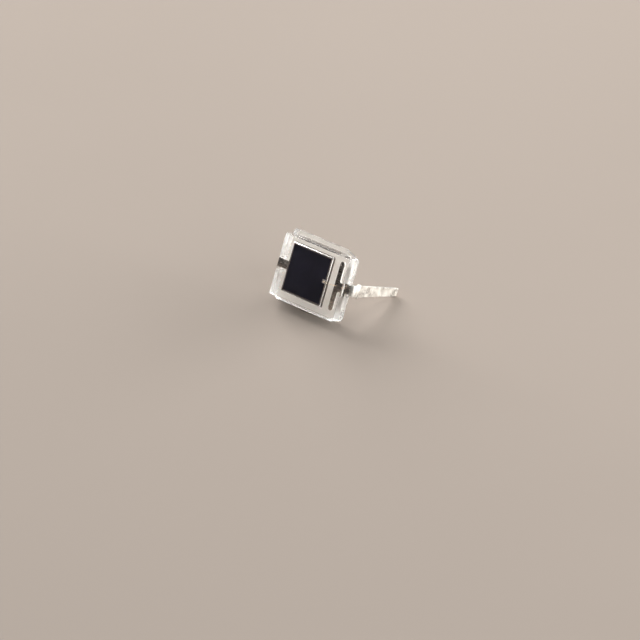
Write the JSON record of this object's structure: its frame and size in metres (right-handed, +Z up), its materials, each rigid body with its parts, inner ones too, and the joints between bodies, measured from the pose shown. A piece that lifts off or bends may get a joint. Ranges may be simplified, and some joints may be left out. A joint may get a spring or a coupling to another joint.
{
  "type": "photodiode",
  "caption": "Flat clear moulded photodiode: a square silicon chip under a clear window, wired to a bond bar, with flat leads bent back at each end. It turns light into current.",
  "frame": {"origin": "below the middle of the part's outline, on the surface that it lies on", "axes": "+X along the leads' pitch towards the anode, +Y towards the lead tips, away from the window, +Z up"},
  "size_m": [0.0054, 0.0056, 0.0041],
  "materials": {
    "package": "clear gloss epoxy",
    "cathode_lead": "bright tinned",
    "anode_lead": "bright tinned",
    "die_attach": "matt filled glue",
    "chip": "polished silicon",
    "anode_contact": "bright film",
    "bond_wire": "drawn gold wire"
  },
  "bodies": {
    "root": {"package": "package", "cathode_lead": "cathode_lead", "anode_lead": "anode_lead", "die_attach": "die_attach", "chip": "chip", "anode_contact": "anode_contact", "bond_wire": "bond_wire"}
  },
  "joints": []
}
